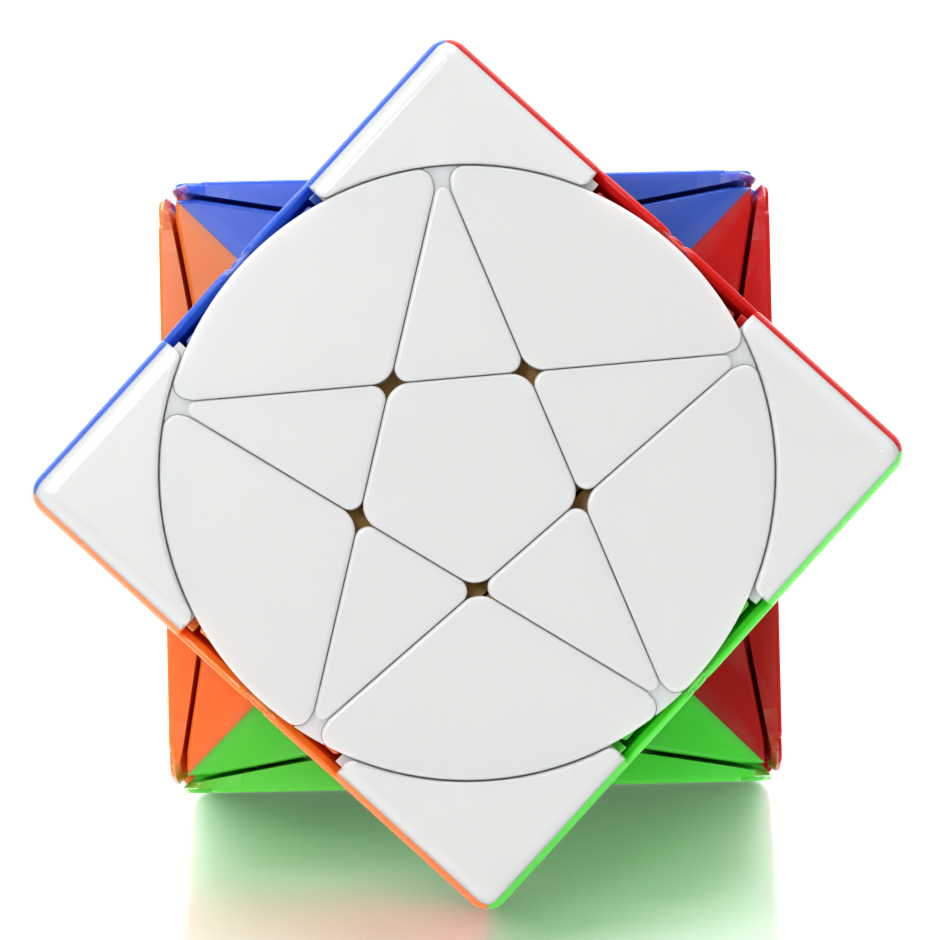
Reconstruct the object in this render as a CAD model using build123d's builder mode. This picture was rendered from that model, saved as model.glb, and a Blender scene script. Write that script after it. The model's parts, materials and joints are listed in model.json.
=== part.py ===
"""Cube-shaped twisty puzzle with a round, turning five-pointed star set into every face.

The front layer stands part turned, so the puzzle leans back on one corner of that layer and
on the bottom edge of its back layer.  All lengths are millimetres and all angles degrees.
"""

from build123d import *

import os
from math import asin, atan2, cos, degrees, hypot, radians, sin, sqrt

# Driving dimensions
SIDE = 56.0
HALF = SIDE / 2
DISC_RADIUS = 27.2
POINTS = 5
STEP = 360 / POINTS
LAYER_TURN = 46.5
FRONT_STAR_TURN = 3.74
BACK_STAR_TURN = 0.0

# The cuts that free a layer run along one line of the star on each neighbouring face
CUT = DISC_RADIUS * cos(radians(STEP))
LAYER_GAP = 0.15
PIECE_GAP = 0.04
CELL = CUT - LAYER_GAP
INNER = CUT + LAYER_GAP

# Star disc pieces
RIM_WALL = 0.5
TOP_ROUNDING = 0.35
CENTRE_CORNER = 2.3
PETAL_INNER_CORNER = 2.3
PETAL_RIM_CORNER = 1.3
POINT_BASE_CORNER = 1.2
POINT_TIP_CORNER = 0.75
NECK_WIDTH = 1.4
NECK_FLARE = 3.0
NECK_DROP = 0.4
NECK_START = 23.0
UNDERSIDE_SLOPE = 0.184
UNDERSIDE_AT_AXIS = 22.07
UNDERSIDE_FLAT_RADIUS = 9.0
HUB_INNER = 5.08
HUB_OUTER = 6.2
HUB_BOTTOM = 20.5

# Hooked foot under each point and petal, and the round track that it runs in
FOOT_STEM_IN = 15.9
FOOT_STEM_OUT = 16.7
FOOT_IN = 14.9
FOOT_OUT = 17.7
FOOT_BOTTOM = 20.9
FOOT_TOP = 22.3
TRACK_GAP = 0.3
DISH_GAP = 0.4
DISH_WALL_GAP = 0.15

# Corner and edge pieces
CORNER_ROUNDING = 2.2
TIP_FROM_MIDDLE = 9.3
TIP_ROUNDING = 1.0
TIP_SHELF = 26.75
TIP_WINDOW = 5.2
NOTCH_BOTTOM = 25.1
RIDGE_LIMIT = 26.35
RIDGE_ROUNDING = 0.4
RIDGE_FROM = 22.0
EDGE_CLEARANCE_RADIUS = 16.05
EDGE_STALK = 5.8
EDGE_FOOT_RADIUS = 11.7
CORNER_FOOT_RADIUS = 15.7
FOOT_REACH = 6.5
FRONT_EDGE_WRAP = 2.0

# Core, centre carriers and screws
CORE_HALF = 5.0
ARM_RADIUS = 4.0
ARM_END = 11.7
CARRIER_NECK = 6.2
CARRIER_NECK_BOTTOM = 12.0
CARRIER_CAP_BOTTOM = 16.05
SCREW_RADIUS = 1.5
SCREW_HOLE_RADIUS = 1.58
SCREW_BOTTOM = 3.0
SCREW_HEAD_RADIUS = 2.9
SCREW_HEAD_BOTTOM = 20.4
SCREW_HEAD_TOP = 22.2
SCREW_SLOT = 1.0
POCKET_RADIUS = 3.2
POCKET_BOTTOM = 16.2
CARRIER_BORE_RADIUS = 1.8
SPRING_RADIUS = 2.35
SPRING_WIRE = 0.3
SPRING_PITCH = 1.15
HUB_GROOVE_INNER = 5.0
HUB_GROOVE_OUTER = 6.5
HUB_GROOVE_BOTTOM = 20.2

COLOURS = {"blue": "top", "red": "right", "green": "bottom", "orange": "left"}


def underside(radius):
    """Height of the coned underside of a star disc at a radius."""
    return UNDERSIDE_AT_AXIS + UNDERSIDE_SLOPE * radius


def meet(angle_a, distance_a, angle_b, distance_b):
    """Crossing of two lines, each given by the angle of its normal and its distance."""
    ax = cos(radians(angle_a))
    ay = sin(radians(angle_a))
    bx = cos(radians(angle_b))
    by = sin(radians(angle_b))
    cross = ax * by - ay * bx
    return ((distance_a * by - distance_b * ay) / cross, (distance_b * ax - distance_a * bx) / cross)


CORE_EDGE = HALF - CORNER_ROUNDING
CORNER_REACH = CORE_EDGE * sqrt(2) * cos(radians(LAYER_TURN - 45))


def resting_lean():
    """Lean at which the turned layer's low corner and the rim of the bottom disc are level."""
    across = DISC_RADIUS - TOP_ROUNDING + INNER
    up = CORNER_REACH + CORNER_ROUNDING - HALF + TOP_ROUNDING
    return degrees(asin(-TOP_ROUNDING / hypot(across, up)) + atan2(up, across))


# Frames: the whole cube leans back, and the front layer is turned about the cube's front axis
LEAN = resting_lean()
SIN_LEAN = sin(radians(LEAN))
COS_LEAN = cos(radians(LEAN))
LOWEST = INNER * SIN_LEAN - (CORNER_REACH + CORNER_ROUNDING) * COS_LEAN
NEAREST = -CORE_EDGE * COS_LEAN - CORNER_REACH * SIN_LEAN - CORNER_ROUNDING
FARTHEST = (DISC_RADIUS - TOP_ROUNDING) * SIN_LEAN + (HALF - TOP_ROUNDING) * COS_LEAN + TOP_ROUNDING
CENTRE = Vector(0, -(NEAREST + FARTHEST) / 2, -LOWEST)
CUBE = Plane(origin=CENTRE, x_dir=(1, 0, 0), z_dir=(0, SIN_LEAN, COS_LEAN))

NORMALS = {
    "front": (0, -1, 0),
    "back": (0, 1, 0),
    "top": (0, 0, 1),
    "bottom": (0, 0, -1),
    "right": (1, 0, 0),
    "left": (-1, 0, 0),
}
SIDES = ("top", "right", "bottom", "left")


def direction(frame, vector):
    """A direction of a frame's own axes, as a direction of the model."""
    return frame.x_dir * vector[0] + frame.y_dir * vector[1] + frame.z_dir * vector[2]


def turned(frame, angle):
    """A copy of a frame turned about its front axis, anticlockwise as seen from the front."""
    up = direction(frame, (-sin(radians(angle)), 0, cos(radians(angle))))
    across = direction(frame, (cos(radians(angle)), 0, sin(radians(angle))))
    return Plane(origin=frame.origin, x_dir=across, z_dir=up)


def seat(frame, face, angle=0.0):
    """Plane at the cube's centre that looks out of a face.

    Its x axis points to the front face, or up on the front and back faces, and is then
    turned about the face's own axis.
    """
    reference = direction(frame, (0, 0, 1) if face in ("front", "back") else (0, -1, 0))
    normal = direction(frame, NORMALS[face])
    across = reference * cos(radians(angle)) + normal.cross(reference) * sin(radians(angle))
    return Plane(origin=frame.origin, x_dir=across, z_dir=normal)


LAYER = turned(CUBE, LAYER_TURN)
STAR = turned(CUBE, FRONT_STAR_TURN)
BACK = turned(CUBE, BACK_STAR_TURN)
SECTION = Plane.XZ


def disc_profile():
    """Half section of a star disc with its bevelled rim and hooked foot, on the XZ plane."""
    rim_line = HALF - RIM_WALL - DISC_RADIUS
    bevel_radius = (UNDERSIDE_AT_AXIS - rim_line) / (1 - UNDERSIDE_SLOPE)
    Polyline(
        (0, HALF),
        (HALF - rim_line, HALF),
        (bevel_radius, underside(bevel_radius)),
        (FOOT_STEM_OUT, underside(FOOT_STEM_OUT)),
        (FOOT_STEM_OUT, FOOT_TOP),
        (FOOT_OUT, FOOT_TOP),
        (FOOT_OUT, FOOT_BOTTOM),
        (FOOT_IN, FOOT_BOTTOM),
        (FOOT_IN, FOOT_TOP),
        (FOOT_STEM_IN, FOOT_TOP),
        (FOOT_STEM_IN, underside(FOOT_STEM_IN)),
        (UNDERSIDE_FLAT_RADIUS, underside(UNDERSIDE_FLAT_RADIUS)),
        (0, underside(UNDERSIDE_FLAT_RADIUS)),
        close=True,
    )


def dish_profile():
    """Half section of the space that a star disc turns in, on the XZ plane."""
    wall = DISC_RADIUS + DISH_WALL_GAP
    stem_in = FOOT_STEM_IN - TRACK_GAP
    stem_out = FOOT_STEM_OUT + TRACK_GAP
    Polyline(
        (0, SIDE),
        (wall, SIDE),
        (wall, underside(wall) - DISH_GAP),
        (stem_out, underside(stem_out) - DISH_GAP),
        (stem_out, FOOT_TOP + TRACK_GAP),
        (FOOT_OUT + TRACK_GAP, FOOT_TOP + TRACK_GAP),
        (FOOT_OUT + TRACK_GAP, FOOT_BOTTOM - TRACK_GAP),
        (FOOT_IN - TRACK_GAP, FOOT_BOTTOM - TRACK_GAP),
        (FOOT_IN - TRACK_GAP, FOOT_TOP + TRACK_GAP),
        (stem_in, FOOT_TOP + TRACK_GAP),
        (stem_in, underside(stem_in) - DISH_GAP),
        (UNDERSIDE_FLAT_RADIUS, underside(UNDERSIDE_FLAT_RADIUS) - DISH_GAP),
        (0, underside(UNDERSIDE_FLAT_RADIUS) - DISH_GAP),
        close=True,
    )


# Master shapes, each built once at the cube's centre for a face that looks along +Z

with BuildPart() as dish:
    with BuildSketch(SECTION):
        with BuildLine():
            dish_profile()
        make_face()
    revolve(axis=Axis.Z)

with BuildPart() as centre_master:
    with BuildSketch(Plane.XY.offset(HUB_BOTTOM)):
        RegularPolygon(CUT - PIECE_GAP, POINTS, major_radius=False, rotation=STEP / 2)
        fillet(vertices(), CENTRE_CORNER)
    extrude(amount=HALF - HUB_BOTTOM)
    with BuildSketch(SECTION):
        with BuildLine():
            disc_profile()
        make_face()
    revolve(axis=Axis.Z, mode=Mode.INTERSECT)
    fillet(faces().sort_by(Axis.Z)[-1].edges(), TOP_ROUNDING)
    with BuildSketch(Plane.XY.offset(HUB_BOTTOM)):
        Circle(HUB_OUTER)
        Circle(HUB_INNER, mode=Mode.SUBTRACT)
    extrude(amount=underside(UNDERSIDE_FLAT_RADIUS) - HUB_BOTTOM + TOP_ROUNDING)

with BuildSketch() as petal_plan:
    half_step = STEP / 2
    neck_side = NECK_WIDTH / 2 + PIECE_GAP
    root_corner = meet(half_step, CUT + PIECE_GAP, -half_step, CUT + PIECE_GAP)
    low_bend = meet(half_step, CUT + PIECE_GAP, 90 - half_step, neck_side)
    high_bend = meet(-half_step, CUT + PIECE_GAP, half_step - 90, neck_side)
    rim_angle = half_step - degrees(asin(neck_side / DISC_RADIUS))
    low_rim = (DISC_RADIUS * cos(radians(rim_angle)), -DISC_RADIUS * sin(radians(rim_angle)))
    high_rim = (low_rim[0], -low_rim[1])
    with BuildLine():
        Polyline(low_rim, low_bend, root_corner, high_bend, high_rim)
        ThreePointArc(high_rim, (DISC_RADIUS, 0), low_rim)
    make_face()
    fillet(vertices().group_by(Axis.X)[0], PETAL_INNER_CORNER)
    fillet(vertices().group_by(Axis.X)[-1], PETAL_RIM_CORNER)

with BuildSketch() as petal_room:
    add(petal_plan.sketch)
    offset(amount=PIECE_GAP)

with BuildPart() as petal_master:
    with BuildSketch(Plane.XY.offset(FOOT_BOTTOM)):
        add(petal_plan.sketch)
    extrude(amount=HALF - FOOT_BOTTOM)
    with BuildSketch(SECTION):
        with BuildLine():
            disc_profile()
        make_face()
    revolve(axis=Axis.Z, mode=Mode.INTERSECT)
    fillet(faces().sort_by(Axis.Z)[-1].edges(), TOP_ROUNDING)

# A star point's neck is low and narrow, and widens at the rim to fill the space between two petals
with BuildPart() as point_master:
    low_corner = meet(0, CUT + PIECE_GAP, -STEP, CUT - PIECE_GAP)
    high_corner = meet(0, CUT + PIECE_GAP, STEP, CUT - PIECE_GAP)
    tip = meet(STEP, CUT - PIECE_GAP, -STEP, CUT - PIECE_GAP)
    with BuildSketch(Plane.XY.offset(FOOT_BOTTOM)):
        with BuildLine():
            Polyline(low_corner, tip, high_corner, close=True)
        make_face()
        fillet(vertices().group_by(Axis.X)[0], POINT_BASE_CORNER)
        fillet(vertices().group_by(Axis.X)[-1], POINT_TIP_CORNER)
    extrude(amount=HALF - FOOT_BOTTOM)
    with BuildSketch(Plane.XY.offset(HALF - NECK_DROP)):
        with Locations(((NECK_START + HALF) / 2, 0)):
            Rectangle(HALF - NECK_START, NECK_FLARE)
        Circle(DISC_RADIUS, mode=Mode.INTERSECT)
        add(petal_room.sketch, rotation=STEP / 2, mode=Mode.SUBTRACT)
        add(petal_room.sketch, rotation=-STEP / 2, mode=Mode.SUBTRACT)
    extrude(amount=FOOT_BOTTOM + NECK_DROP - HALF)
    with BuildSketch(SECTION):
        with BuildLine():
            disc_profile()
        make_face()
    revolve(axis=Axis.Z, mode=Mode.INTERSECT)
    fillet(faces().sort_by(Axis.Z)[-1].edges(), TOP_ROUNDING)

# One whole edge piece between the +Z and +X faces, with its stalk and two feet
with BuildPart() as edge_master:
    with BuildSketch(Plane.XZ.offset(-CELL)):
        with BuildLine():
            Polyline(
                (INNER, INNER),
                (RIDGE_LIMIT, INNER),
                (RIDGE_LIMIT, RIDGE_LIMIT),
                (INNER, RIDGE_LIMIT),
                close=True,
            )
        make_face()
    extrude(amount=2 * CELL)
    for end in (-1, 1):
        with BuildSketch(Plane.XZ.offset(end * (CELL + EDGE_STALK) / 2)):
            Circle(EDGE_CLEARANCE_RADIUS)
        extrude(amount=(CELL - EDGE_STALK) / 2, both=True, mode=Mode.SUBTRACT)
    add(dish.part, mode=Mode.SUBTRACT)
    add(dish.part, rotation=(0, 90, 0), mode=Mode.SUBTRACT)
    foot_depth = INNER - FOOT_REACH
    with BuildSketch(Plane.YZ.offset(FOOT_REACH)):
        Circle(EDGE_FOOT_RADIUS)
        with Locations((0, INNER + EDGE_FOOT_RADIUS / 2)):
            Rectangle(2 * EDGE_STALK, EDGE_FOOT_RADIUS, mode=Mode.INTERSECT)
    extrude(amount=foot_depth)
    with BuildSketch(Plane.XY.offset(FOOT_REACH)):
        Circle(EDGE_FOOT_RADIUS)
        with Locations((INNER + EDGE_FOOT_RADIUS / 2, 0)):
            Rectangle(EDGE_FOOT_RADIUS, 2 * EDGE_STALK, mode=Mode.INTERSECT)
    extrude(amount=foot_depth)
    end_faces = faces().filter_by(Axis.Y).filter_by(lambda f: abs(f.center().Y) > CELL - LAYER_GAP)
    ridge_edges = end_faces.edges().filter_by(lambda e: max((e @ 0.5).X, (e @ 0.5).Z) > RIDGE_FROM)
    ridge_edges = ridge_edges.filter_by(lambda e: min((e @ 0.5).X, (e @ 0.5).Z) > EDGE_CLEARANCE_RADIUS)
    fillet(ridge_edges, RIDGE_ROUNDING)

MITRE = Plane(origin=(0, 0, 0), x_dir=(0, 1, 0), z_dir=(-1, 0, 1))


def edge_half(name, wrap, keep):
    """Part of an edge piece on one side of its 45 degree seam, moved inwards by a wrap."""
    with BuildPart() as half:
        add(edge_master.part)
        split(bisect_by=MITRE.offset(wrap / sqrt(2)), keep=keep)
    half.part.label = name
    return half.part


edge_middle = edge_half("edge_middle", 0, Keep.TOP)
edge_outer = edge_half("edge_outer", -FRONT_EDGE_WRAP, Keep.TOP)
edge_inner = edge_half("edge_inner", FRONT_EDGE_WRAP, Keep.TOP)

# One whole corner piece at the +X +Y +Z corner, then the third of it that shows on the +Z face
with BuildSketch() as corner_plan:
    wall_radius = DISC_RADIUS + DISH_WALL_GAP
    tip_side = sqrt(wall_radius**2 - TIP_FROM_MIDDLE**2)
    with BuildLine():
        ThreePointArc(
            (TIP_FROM_MIDDLE, tip_side),
            (wall_radius / sqrt(2), wall_radius / sqrt(2)),
            (tip_side, TIP_FROM_MIDDLE),
        )
        Polyline(
            (tip_side, TIP_FROM_MIDDLE),
            (HALF, TIP_FROM_MIDDLE),
            (HALF, HALF),
            (TIP_FROM_MIDDLE, HALF),
            (TIP_FROM_MIDDLE, tip_side),
        )
    make_face()
    fillet(vertices().filter_by(lambda v: v.X + v.Y < 1.9 * HALF), TIP_ROUNDING)

with BuildPart() as corner_master:
    with BuildSketch(Plane.XY.offset(INNER)):
        with Locations(((INNER + HALF) / 2, (INNER + HALF) / 2)):
            Rectangle(HALF - INNER, HALF - INNER)
    extrude(amount=HALF - INNER)
    outer_edges = edges().filter_by(lambda e: (e @ 0.5).X + (e @ 0.5).Y + (e @ 0.5).Z > 2.3 * HALF)
    fillet(outer_edges, CORNER_ROUNDING)
    for turn in ((0, 0, 0), (0, 90, 0), (-90, 0, 0)):
        add(dish.part, rotation=turn, mode=Mode.SUBTRACT)
    for face_plane in (Plane.XY, Plane.YZ, Plane.ZX):
        with BuildSketch(face_plane.offset(TIP_SHELF)):
            with Locations((INNER, HALF), (HALF, INNER)):
                Rectangle(TIP_WINDOW, TIP_WINDOW)
            add(corner_plan.sketch, mode=Mode.SUBTRACT)
        extrude(amount=HALF - TIP_SHELF, mode=Mode.SUBTRACT)
        with BuildSketch(face_plane.offset(NOTCH_BOTTOM)):
            with Locations((INNER, HALF)):
                Rectangle(2 * (TIP_FROM_MIDDLE - INNER), TIP_WINDOW)
            with Locations((HALF, INNER)):
                Rectangle(TIP_WINDOW, 2 * (TIP_FROM_MIDDLE - INNER))
        extrude(amount=HALF - NOTCH_BOTTOM, mode=Mode.SUBTRACT)
        with BuildSketch(face_plane.offset(FOOT_REACH)):
            Circle(CORNER_FOOT_RADIUS)
            with Locations((INNER + HALF / 2, INNER + HALF / 2)):
                Rectangle(HALF, HALF, mode=Mode.INTERSECT)
        extrude(amount=INNER - FOOT_REACH)

with BuildPart() as corner_third:
    add(corner_master.part)
    split(bisect_by=MITRE, keep=Keep.TOP)
    split(bisect_by=Plane(origin=(0, 0, 0), x_dir=(1, 0, 0), z_dir=(0, -1, 1)), keep=Keep.TOP)
    top_face = faces().filter_by(Axis.Z).sort_by(Axis.Z)[-1]
    fillet(top_face.edges().filter_by(GeomType.CIRCLE), TOP_ROUNDING)

with BuildPart() as carrier_master:
    with BuildSketch(Plane.XY.offset(CARRIER_CAP_BOTTOM)):
        Rectangle(2 * CELL, 2 * CELL)
    extrude(amount=HALF - CARRIER_CAP_BOTTOM)
    with BuildSketch(Plane.XY.offset(CARRIER_NECK_BOTTOM)):
        Circle(CARRIER_NECK)
    extrude(amount=CARRIER_CAP_BOTTOM - CARRIER_NECK_BOTTOM)
    add(dish.part, mode=Mode.SUBTRACT)
    with BuildSketch(Plane.XY.offset(HUB_GROOVE_BOTTOM)):
        Circle(HUB_GROOVE_OUTER)
        Circle(HUB_GROOVE_INNER, mode=Mode.SUBTRACT)
    extrude(amount=HALF - HUB_GROOVE_BOTTOM, mode=Mode.SUBTRACT)
    with BuildSketch(Plane.XY.offset(CARRIER_NECK_BOTTOM)):
        Circle(CARRIER_BORE_RADIUS)
    extrude(amount=HALF - CARRIER_NECK_BOTTOM, mode=Mode.SUBTRACT)
    with BuildSketch(Plane.XY.offset(POCKET_BOTTOM)):
        Circle(POCKET_RADIUS)
    extrude(amount=HALF - POCKET_BOTTOM, mode=Mode.SUBTRACT)

with BuildPart() as core_master:
    Box(2 * CORE_HALF, 2 * CORE_HALF, 2 * CORE_HALF)
    arm_planes = (Plane.XY, Plane.YZ, Plane.ZX)
    for arm_plane in arm_planes:
        with BuildSketch(arm_plane):
            Circle(ARM_RADIUS)
        extrude(amount=ARM_END, both=True)
    for arm_plane in arm_planes:
        for side in (1, -1):
            with BuildSketch(arm_plane.offset(side * SCREW_BOTTOM)):
                Circle(SCREW_HOLE_RADIUS)
            extrude(amount=side * ARM_END, mode=Mode.SUBTRACT)

with BuildPart() as screw_master:
    with BuildSketch(Plane.XY.offset(SCREW_BOTTOM)):
        Circle(SCREW_RADIUS)
    extrude(amount=SCREW_HEAD_BOTTOM - SCREW_BOTTOM)
    with BuildSketch(Plane.XY.offset(SCREW_HEAD_BOTTOM)):
        Circle(SCREW_HEAD_RADIUS)
    extrude(amount=SCREW_HEAD_TOP - SCREW_HEAD_BOTTOM)
    with BuildSketch(Plane.XY.offset(SCREW_HEAD_TOP)):
        Rectangle(SCREW_HEAD_RADIUS * 1.2, SCREW_SLOT / 2)
        Rectangle(SCREW_SLOT / 2, SCREW_HEAD_RADIUS * 1.2)
    extrude(amount=-SCREW_SLOT, mode=Mode.SUBTRACT)

with BuildPart() as spring_master:
    spring_room = SCREW_HEAD_BOTTOM - POCKET_BOTTOM - 2 * SPRING_WIRE - PIECE_GAP
    spring_seat = Plane.XY.offset(POCKET_BOTTOM + SPRING_WIRE + PIECE_GAP / 2)
    with BuildLine(spring_seat) as coil:
        Helix(pitch=SPRING_PITCH, height=spring_room, radius=SPRING_RADIUS)
    with BuildSketch(Plane(origin=coil.line @ 0, z_dir=coil.line % 0)):
        Circle(SPRING_WIRE)
    sweep()


# Nodes: every piece is a copy of a master, placed by the planes that it sits on


def write_node(name, master, seats):
    """One node: a master piece copied to each of its seats."""
    with BuildPart() as node:
        with Locations(*seats):
            add(master)
    node.part.label = name
    export_step(node.part, f"parts/{name}.step")


os.makedirs("parts", exist_ok=True)

centre_piece = centre_master.part
point_piece = point_master.part
petal_piece = petal_master.part
corner_piece = corner_third.part

write_node("white_star_centre", centre_piece, [seat(STAR, "front")])
write_node("yellow_star_centre", centre_piece, [seat(BACK, "back")])
for count in range(POINTS):
    write_node(f"white_star_point_{count + 1}", point_piece, [seat(STAR, "front", STEP * count)])
    petal_angle = STEP * (count + 0.5)
    write_node(f"white_star_petal_{count + 1}", petal_piece, [seat(STAR, "front", petal_angle)])
write_node("yellow_star_points", point_piece, [seat(BACK, "back", STEP * k) for k in range(POINTS)])
back_petals = [seat(BACK, "back", STEP * (k + 0.5)) for k in range(POINTS)]
write_node("yellow_star_petals", petal_piece, back_petals)

for colour, face in COLOURS.items():
    write_node(f"{colour}_front_point", point_piece, [seat(LAYER, face)])
    front_petals = [seat(LAYER, face, STEP / 2), seat(LAYER, face, -STEP / 2)]
    write_node(f"{colour}_front_petals", petal_piece, front_petals)
    write_node(f"{colour}_star_centre", centre_piece, [seat(CUBE, face)])
    write_node(f"{colour}_star_points", point_piece, [seat(CUBE, face, STEP * k) for k in range(1, POINTS)])
    rear_petals = [seat(CUBE, face, STEP * (k + 0.5)) for k in range(1, POINTS - 1)]
    write_node(f"{colour}_star_petals", petal_piece, rear_petals)
    front_corners = [seat(LAYER, face, 0), seat(LAYER, face, -90)]
    write_node(f"front_corners_{colour}", corner_piece, front_corners)
    back_corners = [seat(CUBE, face, 90), seat(CUBE, face, 180)]
    write_node(f"back_corners_{colour}", corner_piece, back_corners)
    write_node(f"front_edge_{colour}", edge_outer, [seat(LAYER, face)])
    rear_edges = [seat(CUBE, face, a) for a in (90, 180, 270)]
    write_node(f"rear_edges_{colour}", edge_middle, rear_edges)

quarter_turns = (0, 90, 180, 270)
write_node("front_corners_white", corner_piece, [seat(LAYER, "front", a) for a in quarter_turns])
write_node("back_corners_yellow", corner_piece, [seat(CUBE, "back", a) for a in quarter_turns])
write_node("front_edge_insides", edge_inner, [seat(LAYER, "front", a) for a in quarter_turns])
write_node("rear_edges_yellow", edge_middle, [seat(CUBE, "back", a) for a in quarter_turns])
write_node("front_carrier", carrier_master.part, [seat(LAYER, "front")])
carrier_seats = [seat(CUBE, face) for face in SIDES + ("back",)]
write_node("centre_carriers", carrier_master.part, carrier_seats)
all_faces = [seat(CUBE, face) for face in NORMALS]
write_node("core", core_master.part, [seat(CUBE, "top")])
write_node("axis_screws", screw_master.part, all_faces)
write_node("axis_springs", spring_master.part, all_faces)
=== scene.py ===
"""Looks, light and camera for the cube twisty puzzle with a star disc in every face."""

import json
import math
from typing import NamedTuple

import bpy
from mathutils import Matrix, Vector

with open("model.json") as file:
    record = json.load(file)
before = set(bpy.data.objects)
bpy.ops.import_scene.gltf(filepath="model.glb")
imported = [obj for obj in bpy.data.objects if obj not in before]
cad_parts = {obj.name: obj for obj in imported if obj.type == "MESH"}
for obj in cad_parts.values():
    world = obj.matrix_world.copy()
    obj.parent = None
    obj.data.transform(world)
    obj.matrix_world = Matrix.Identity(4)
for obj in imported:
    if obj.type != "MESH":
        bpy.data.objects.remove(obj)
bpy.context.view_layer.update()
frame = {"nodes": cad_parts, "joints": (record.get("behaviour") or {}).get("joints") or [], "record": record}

# Camera, as the distance and direction from the middle of the white face, with angles in degrees
CAMERA_DISTANCE = 0.577
CAMERA_DROP = 2.3
CAMERA_SIDE = 0.65
CAMERA_ROLL = 1.45
CAMERA_LENS = 250.0
CAMERA_NEAR = 0.01
SENSOR = 36.0
AIM_RIGHT = 0.00027
AIM_UP = 0.00018
HALF_SIDE = 0.028
UPWARD = Vector((0, 0, 1))

# Colours of the moulded plastic and the steel, in linear light
PLASTICS = {
    "white": (0.66, 0.66, 0.65),
    "blue": (0.018, 0.10, 0.58),
    "red": (0.52, 0.005, 0.004),
    "green": (0.075, 0.72, 0.035),
    "orange": (1.0, 0.19, 0.012),
    "yellow": (0.90, 0.66, 0.02),
    "inner_brown": (1.0, 0.56, 0.14),
    "inner_dark": (0.10, 0.10, 0.105),
}
STEEL_COLOUR = (0.56, 0.57, 0.59)
WHITE = (1.0, 1.0, 1.0)

# Refractive index of the plastics and of the floor
SURFACE_IOR = 1.5


class Finish(NamedTuple):
    """How glossy and how translucent a moulded plastic is."""

    roughness: float
    coat: float
    translucency: float
    specular: float = 0.5


GLOSSY = Finish(roughness=0.24, coat=0.22, translucency=0.55)
MATTE = Finish(roughness=0.5, coat=0.0, translucency=0.0)
FINISHES = {
    "white": Finish(roughness=0.24, coat=0.3, translucency=0.55),
    "red": Finish(roughness=0.22, coat=0.06, translucency=0.5, specular=0.2),
    "inner_brown": MATTE,
    "inner_dark": MATTE,
}

# Noise, as features per metre and levels of detail
NOISE_RANGE = (0.3, 0.7)
UNIT_RANGE = (0.0, 1.0)
CLOUD = (30.0, 1.0)
RUB_AND_SHEEN = (420.0, 5.0)
SMEAR = (130.0, 6.0)
WAVE = (75.0, 2.0)
GRAIN = (3200.0, 3.0)
STEEL_TONE = (300.0, 5.0)
STEEL_SCRATCH = (2600.0, 4.0)
FLOOR_CLOUD = (9.0, 4.0)

# Moulded plastic
CLOUD_SHADES = (0.99, 1.008)
# Pointy edges are painted paler, partly as rubbed wear and partly as a painted sheen of light, and are also
# made duller
EDGE_WEAR_SHEEN_POINTINESS = (0.53, 0.62)
EDGE_WEAR_SHEEN_PALENESS = 0.10
RUBBED_DULLNESS = 0.04
GLOSS_SPREAD = (0.75, 0.98)
WAVE_STRENGTH = 0.07
WAVE_HEIGHT = 0.00025
GRAIN_STRENGTH = 0.10
GRAIN_HEIGHT = 0.00002
COAT_ROUGHNESS = 0.08
SCATTER_BY_CHANNEL = (1.0, 0.8, 0.7)
SCATTER_DEPTH = 0.003

# Steel
STEEL_SHADES = (0.85, 1.1)
STEEL_ROUGHNESS = (0.24, 0.42)
SCRATCH_STRENGTH = 0.2
SCRATCH_HEIGHT = 0.00003

# Floor and backdrop
FLOOR_FRONT = -1.6
FLOOR_BACK = 0.9
FLOOR_HALF_WIDTH = 2.4
SWEEP_RADIUS = 0.5
SWEEP_STEPS = 24
WALL_TOP = 1.6
FLOOR_COLOUR = (0.90, 0.90, 0.90)
FLOOR_ROUGHNESS = (0.13, 0.19)
FLOOR_GLOW = 0.09
WORLD_STRENGTH = 0.45

# The numbered sockets of a Mix node that mixes colours
MIX_FACTOR = 0
MIX_FIRST = 6
MIX_SECOND = 7
MIX_RESULT = 2


def set_input(node, name, value):
    """Sets one input of a node, which stays unlinked."""
    node.inputs[name].default_value = value


def opaque(colour):
    """A colour with full alpha."""
    return (*colour, 1.0)


def shade(colour, factor):
    """A colour made lighter or darker."""
    return tuple(min(1.0, channel * factor) for channel in colour)


def new_material(name):
    """A new node material, with its tree and its shader."""
    material = bpy.data.materials.new(name)
    material.use_nodes = True
    tree = material.node_tree
    return material, tree, tree.nodes["Principled BSDF"]


def noise(tree, coords, texture):
    """The value of a noise texture in the object's own coordinates."""
    scale, detail = texture
    node = tree.nodes.new("ShaderNodeTexNoise")
    set_input(node, "Scale", scale)
    set_input(node, "Detail", detail)
    tree.links.new(coords.outputs["Object"], node.inputs["Vector"])
    return node.outputs["Fac"]


def remap(tree, source, target_range, source_range=NOISE_RANGE):
    """Maps a value from one range into another."""
    node = tree.nodes.new("ShaderNodeMapRange")
    set_input(node, "From Min", source_range[0])
    set_input(node, "From Max", source_range[1])
    set_input(node, "To Min", target_range[0])
    set_input(node, "To Max", target_range[1])
    tree.links.new(source, node.inputs["Value"])
    return node.outputs["Result"]


def mix_colour(tree, factor, first, second):
    """Mixes two colours, each a plain colour or another node's output."""
    node = tree.nodes.new("ShaderNodeMix")
    node.data_type = "RGBA"
    tree.links.new(factor, node.inputs[MIX_FACTOR])
    for index, colour in ((MIX_FIRST, first), (MIX_SECOND, second)):
        if isinstance(colour, tuple):
            node.inputs[index].default_value = opaque(colour)
        else:
            tree.links.new(colour, node.inputs[index])
    return node.outputs[MIX_RESULT]


def multiply(tree, first, second):
    """The product of two nodes' outputs."""
    node = tree.nodes.new("ShaderNodeMath")
    node.operation = "MULTIPLY"
    tree.links.new(first, node.inputs[0])
    tree.links.new(second, node.inputs[1])
    return node.outputs["Value"]


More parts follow.
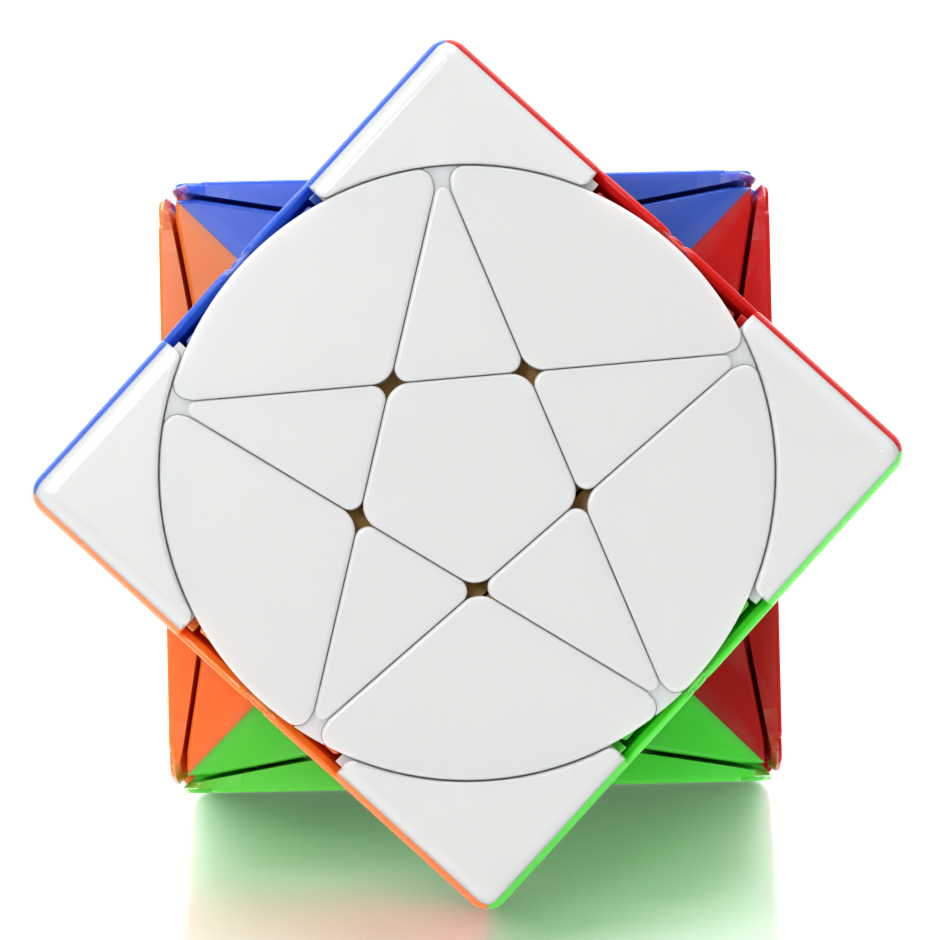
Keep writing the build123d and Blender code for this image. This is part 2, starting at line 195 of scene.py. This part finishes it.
def add_scaled(tree, value, factor, added):
    """One node's output times a number, plus another node's output."""
    node = tree.nodes.new("ShaderNodeMath")
    node.operation = "MULTIPLY_ADD"
    tree.links.new(value, node.inputs[0])
    node.inputs[1].default_value = factor
    tree.links.new(added, node.inputs[2])
    return node.outputs["Value"]


def bump(tree, height, strength, distance, under=None):
    """The normal of a bump, which may lie on another bump."""
    node = tree.nodes.new("ShaderNodeBump")
    set_input(node, "Strength", strength)
    set_input(node, "Distance", distance)
    tree.links.new(height, node.inputs["Height"])
    if under is not None:
        tree.links.new(under, node.inputs["Normal"])
    return node.outputs["Normal"]


def moulded(name, colour, finish):
    """Moulded plastic: cloudy tone, rubbed edges with a painted sheen of light, uneven gloss and a very fine
    moulded skin.
    """
    material, tree, shader = new_material(name)
    coords = tree.nodes.new("ShaderNodeTexCoord")

    cloud = remap(tree, noise(tree, coords, CLOUD), UNIT_RANGE)
    darker, lighter = (shade(colour, factor) for factor in CLOUD_SHADES)
    toned = mix_colour(tree, cloud, darker, lighter)

    # Edges are a little paler and duller: the duller gloss is rubbed wear, and the paler colour is partly
    # rubbed wear and partly a painted sheen of light
    geometry = tree.nodes.new("ShaderNodeNewGeometry")
    edge = remap(tree, geometry.outputs["Pointiness"], UNIT_RANGE, EDGE_WEAR_SHEEN_POINTINESS)
    worn_sheen_edge = multiply(tree, edge, noise(tree, coords, RUB_AND_SHEEN))
    wear_sheen_pale = tuple(channel + (1.0 - channel) * EDGE_WEAR_SHEEN_PALENESS for channel in colour)
    tree.links.new(mix_colour(tree, worn_sheen_edge, toned, wear_sheen_pale), shader.inputs["Base Color"])

    # Gloss that varies slowly, with faint handling marks
    gloss_range = tuple(finish.roughness * factor for factor in GLOSS_SPREAD)
    gloss = remap(tree, noise(tree, coords, SMEAR), gloss_range)
    tree.links.new(add_scaled(tree, worn_sheen_edge, RUBBED_DULLNESS, gloss), shader.inputs["Roughness"])

    # Moulded skin: a shallow waviness under a finer grain
    wavy = bump(tree, noise(tree, coords, WAVE), WAVE_STRENGTH, WAVE_HEIGHT)
    skin = bump(tree, noise(tree, coords, GRAIN), GRAIN_STRENGTH, GRAIN_HEIGHT, wavy)
    tree.links.new(skin, shader.inputs["Normal"])

    set_input(shader, "IOR", SURFACE_IOR)
    set_input(shader, "Specular IOR Level", finish.specular)
    set_input(shader, "Coat Weight", finish.coat)
    set_input(shader, "Coat Roughness", COAT_ROUGHNESS)
    set_input(shader, "Subsurface Weight", finish.translucency)
    set_input(shader, "Subsurface Radius", SCATTER_BY_CHANNEL)
    set_input(shader, "Subsurface Scale", SCATTER_DEPTH)
    return material


def steel(name):
    """Steel with an uneven tone, uneven gloss and fine scratches."""
    material, tree, shader = new_material(name)
    coords = tree.nodes.new("ShaderNodeTexCoord")
    tone = remap(tree, noise(tree, coords, STEEL_TONE), UNIT_RANGE)
    darker, lighter = (shade(STEEL_COLOUR, factor) for factor in STEEL_SHADES)
    tree.links.new(mix_colour(tree, tone, darker, lighter), shader.inputs["Base Color"])
    scratch = noise(tree, coords, STEEL_SCRATCH)
    tree.links.new(remap(tree, scratch, STEEL_ROUGHNESS), shader.inputs["Roughness"])
    tree.links.new(bump(tree, scratch, SCRATCH_STRENGTH, SCRATCH_HEIGHT), shader.inputs["Normal"])
    set_input(shader, "Metallic", 1.0)
    return material


def material_for(slot):
    """The material of one of the record's slots."""
    if slot == "steel":
        return steel(slot)
    return moulded(slot, PLASTICS[slot], FINISHES.get(slot, GLOSSY))


def floor_material():
    """A pale glossy floor that glows a little, as in a light tent."""
    material, tree, shader = new_material("studio_floor")
    coords = tree.nodes.new("ShaderNodeTexCoord")
    rough = remap(tree, noise(tree, coords, FLOOR_CLOUD), FLOOR_ROUGHNESS)
    tree.links.new(rough, shader.inputs["Roughness"])
    set_input(shader, "Base Color", opaque(FLOOR_COLOUR))
    set_input(shader, "IOR", SURFACE_IOR)
    set_input(shader, "Emission Color", opaque(WHITE))
    set_input(shader, "Emission Strength", FLOOR_GLOW)
    return material


def studio_floor():
    """A wide floor that curves up into the backdrop."""
    outline = [(FLOOR_FRONT, 0.0), (FLOOR_BACK, 0.0)]
    for count in range(1, SWEEP_STEPS + 1):
        angle = math.pi / 2 * count / SWEEP_STEPS
        y = FLOOR_BACK + SWEEP_RADIUS * math.sin(angle)
        z = SWEEP_RADIUS * (1 - math.cos(angle))
        outline.append((y, z))
    outline.append((FLOOR_BACK + SWEEP_RADIUS, WALL_TOP))
    vertices = []
    for y, z in outline:
        vertices.append((-FLOOR_HALF_WIDTH, y, z))
        vertices.append((FLOOR_HALF_WIDTH, y, z))
    faces = []
    for left in range(0, len(vertices) - 2, 2):
        faces.append((left, left + 1, left + 3, left + 2))
    mesh = bpy.data.meshes.new("studio_floor")
    mesh.from_pydata(vertices, [], faces)
    mesh.shade_smooth()
    mesh.materials.append(floor_material())
    floor = bpy.data.objects.new("studio_floor", mesh)
    bpy.context.scene.collection.objects.link(floor)


def softbox(name, place, target, size, power):
    """A rectangular softbox that looks at a point."""
    light = bpy.data.lights.new(name, "AREA")
    light.shape = "RECTANGLE"
    light.size, light.size_y = size
    light.energy = power
    holder = bpy.data.objects.new(name, light)
    bpy.context.scene.collection.objects.link(holder)
    holder.location = place
    aim = Vector(target) - Vector(place)
    holder.rotation_euler = aim.to_track_quat("-Z", "Y").to_euler()


def level_axes(back):
    """The right and up directions of a level camera whose back faces this way."""
    right = UPWARD.cross(back).normalized()
    return right, back.cross(right).normalized()


def add_camera(face_middle, face_normal):
    """A long lens that looks at the white face from a little below and to the right."""
    elevation = math.asin(face_normal.z) - math.radians(CAMERA_DROP)
    azimuth = math.radians(CAMERA_SIDE)
    away = Vector(
        (
            math.cos(elevation) * math.sin(azimuth),
            -math.cos(elevation) * math.cos(azimuth),
            math.sin(elevation),
        )
    )
    place = face_middle + away * CAMERA_DISTANCE
    right, up = level_axes(away)
    aim = face_middle + right * AIM_RIGHT + up * AIM_UP
    back = (place - aim).normalized()
    right, up = level_axes(back)
    roll = math.radians(CAMERA_ROLL)
    rolled_right = right * math.cos(roll) - up * math.sin(roll)
    rolled_up = up * math.cos(roll) + right * math.sin(roll)

    data = bpy.data.cameras.new("camera")
    data.sensor_width = SENSOR
    data.lens = CAMERA_LENS
    data.clip_start = CAMERA_NEAR
    camera = bpy.data.objects.new("camera", data)
    bpy.context.scene.collection.objects.link(camera)
    matrix = camera.matrix_world.copy()
    for column, direction in enumerate((rolled_right, rolled_up, back, place)):
        for row in range(3):
            matrix[row][column] = direction[row]
    camera.matrix_world = matrix
    bpy.context.scene.camera = camera


materials = {}
for entry in frame["record"]["subparts"]:
    slot = entry["material_slot"]
    if slot not in materials:
        materials[slot] = material_for(slot)
    mesh = frame["nodes"][entry["node"]].data
    mesh.materials.clear()
    mesh.materials.append(materials[slot])

# Where the white face is, and the way that it looks
star_joint = next(joint for joint in frame["joints"] if joint["child"] == "front_star")
centre = Vector(star_joint["pos_m"])
normal = Vector(star_joint["axis"]).normalized()

studio_floor()

world = bpy.data.worlds.new("studio")
bpy.context.scene.world = world
world.use_nodes = True
background = world.node_tree.nodes["Background"]
set_input(background, "Color", opaque(WHITE))
set_input(background, "Strength", WORLD_STRENGTH)

softbox("key", (-0.55, -0.70, 0.70), centre, (0.6, 0.6), 4.5)
softbox("front", (-0.16, -0.80, 0.42), centre, (0.14, 0.14), 0.75)
softbox("fill", (0.75, -0.45, 0.45), centre, (0.7, 0.7), 0.6)
softbox("top", (0.0, 0.1, 1.0), centre, (0.9, 0.9), 6.5)
softbox("backdrop", (0.0, 0.35, 1.1), (0.0, 1.3, 0.35), (1.6, 0.6), 26.0)

add_camera(centre + normal * HALF_SIDE, normal)
bpy.context.scene.view_settings.view_transform = "Standard"
